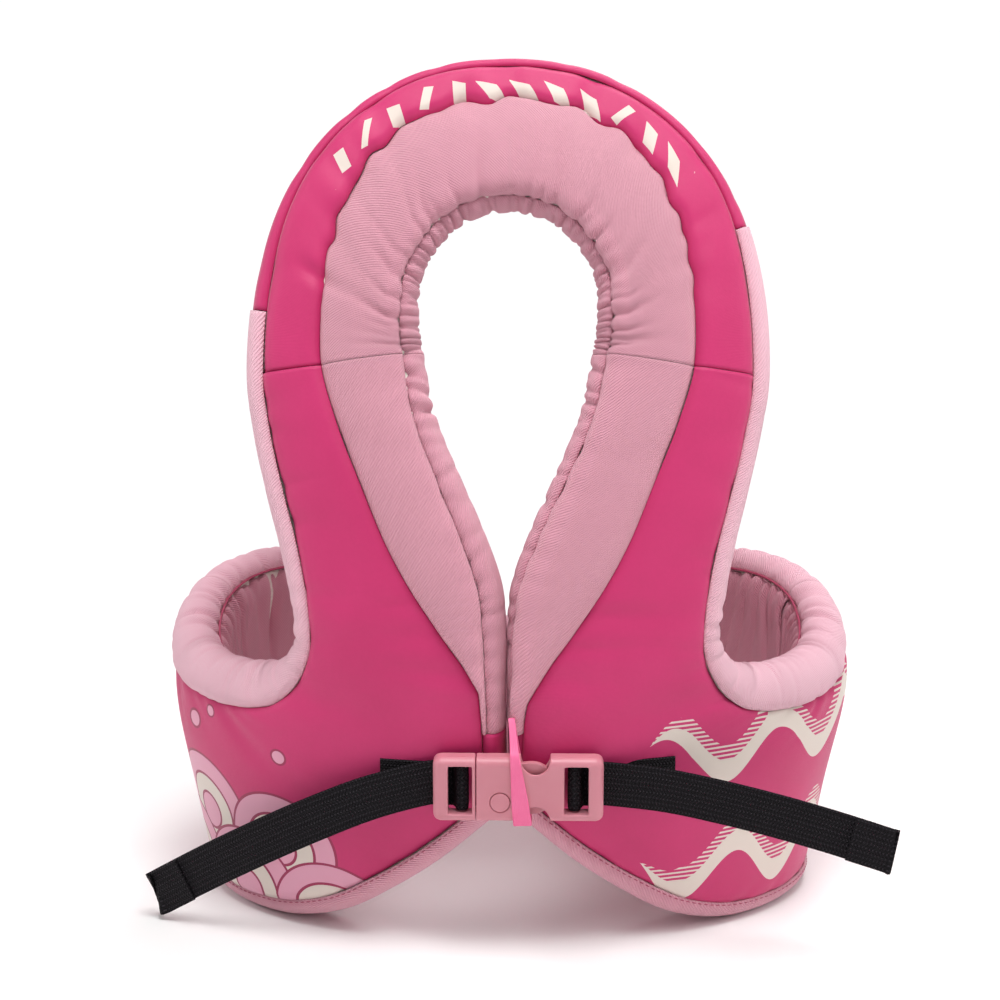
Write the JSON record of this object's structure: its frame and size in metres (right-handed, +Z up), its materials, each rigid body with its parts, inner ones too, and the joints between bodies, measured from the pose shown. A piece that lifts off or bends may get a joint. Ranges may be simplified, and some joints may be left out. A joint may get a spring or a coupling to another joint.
{
  "type": "life jacket",
  "caption": "Child's foam swim vest with a horseshoe neck collar, padded armholes, a wrap-round torso band and a side-release buckle at the centre front.",
  "frame": {"origin": "middle of the bounding box at the hem, on the surface that the vest stands on", "axes": "+Z up, +X to the viewer's right, the front with the buckle faces -Y"},
  "size_m": [0.4102, 0.2704, 0.4753],
  "materials": {
    "bright_pink_nylon": "smooth woven nylon with a soft sheen",
    "light_pink_twill": "matte fine twill",
    "flotation_foam": "closed-cell foam",
    "black_webbing": "ribbed polypropylene webbing",
    "pink_buckle_plastic": "fine-textured moulded acetal",
    "pink_elastic": "smooth flat elastic",
    "spring_steel": "plain"
  },
  "bodies": {
    "root": {"collar_foam": "flotation_foam", "collar_facing": "light_pink_twill", "collar_cover": "bright_pink_nylon", "collar_rim_cover": "bright_pink_nylon", "collar_lining": "light_pink_twill", "collar_neck_gusset": "light_pink_twill", "left_front_foam": "flotation_foam", "left_front_cover": "bright_pink_nylon", "left_front_facing": "light_pink_twill", "left_armhole_gusset": "light_pink_twill", "left_front_lining": "light_pink_twill", "left_neck_gusset": "light_pink_twill", "left_hem_binding": "light_pink_twill", "left_strap_foam": "flotation_foam", "left_strap_cover": "bright_pink_nylon", "right_front_foam": "flotation_foam", "right_front_cover": "bright_pink_nylon", "right_front_facing": "light_pink_twill", "right_armhole_gusset": "light_pink_twill", "right_front_lining": "light_pink_twill", "right_neck_gusset": "light_pink_twill", "right_hem_binding": "light_pink_twill", "right_strap_foam": "flotation_foam", "right_strap_cover": "bright_pink_nylon", "right_webbing": "black_webbing", "back_foam": "flotation_foam", "back_cover": "bright_pink_nylon", "back_top_gusset": "light_pink_twill", "back_lining": "light_pink_twill", "back_hem_binding": "light_pink_twill", "buckle_housing": "pink_buckle_plastic", "button_spring": "spring_steel", "keeper_band": "pink_elastic"},
    "buckle_male": {"buckle_male_frame": "pink_buckle_plastic", "left_webbing": "black_webbing"},
    "upper_arm": {"upper_release_arm": "pink_buckle_plastic"},
    "lower_arm": {"lower_release_arm": "pink_buckle_plastic"},
    "push_button": {"release_button": "pink_buckle_plastic"},
    "left_tail": {"left_webbing_tail": "black_webbing"},
    "right_tail": {"right_webbing_tail": "black_webbing"}
  },
  "joints": [
    {"name": "buckle_release", "type": "slide", "parent": "root", "child": "buckle_male", "axis": [-1, 0, 0], "range_m": [0, 0.042]},
    {"name": "upper_arm_flex", "type": "hinge", "parent": "buckle_male", "child": "upper_arm", "pos_m": [-0.0155, -0.1104, 0.10922], "axis": [0, 1, 0], "range_deg": [0, 5], "stiffness_Nm_per_rad": 0.2},
    {"name": "lower_arm_flex", "type": "hinge", "parent": "buckle_male", "child": "lower_arm", "pos_m": [-0.0155, -0.1104, 0.08972], "axis": [0, -1, 0], "range_deg": [0, 5], "stiffness_Nm_per_rad": 0.2},
    {"name": "button_press", "type": "slide", "parent": "root", "child": "push_button", "axis": [0, 1, 0], "range_m": [0, 0.001], "stiffness_N_per_m": 400, "deforming": ["button_spring"]},
    {"name": "left_tail_swing", "type": "hinge", "parent": "buckle_male", "child": "left_tail", "pos_m": [-0.04, -0.10439, 0.09947], "axis": [0, 0, 1], "range_deg": [0, 55], "stiffness_Nm_per_rad": 0.02},
    {"name": "right_tail_swing", "type": "hinge", "parent": "root", "child": "right_tail", "pos_m": [0.0545, -0.10439, 0.09947], "axis": [0, 0, -1], "range_deg": [0, 55], "stiffness_Nm_per_rad": 0.02}
  ],
  "couplings": [
    {"joint": "lower_arm_flex", "follows": "upper_arm_flex", "ratio": 1}
  ]
}
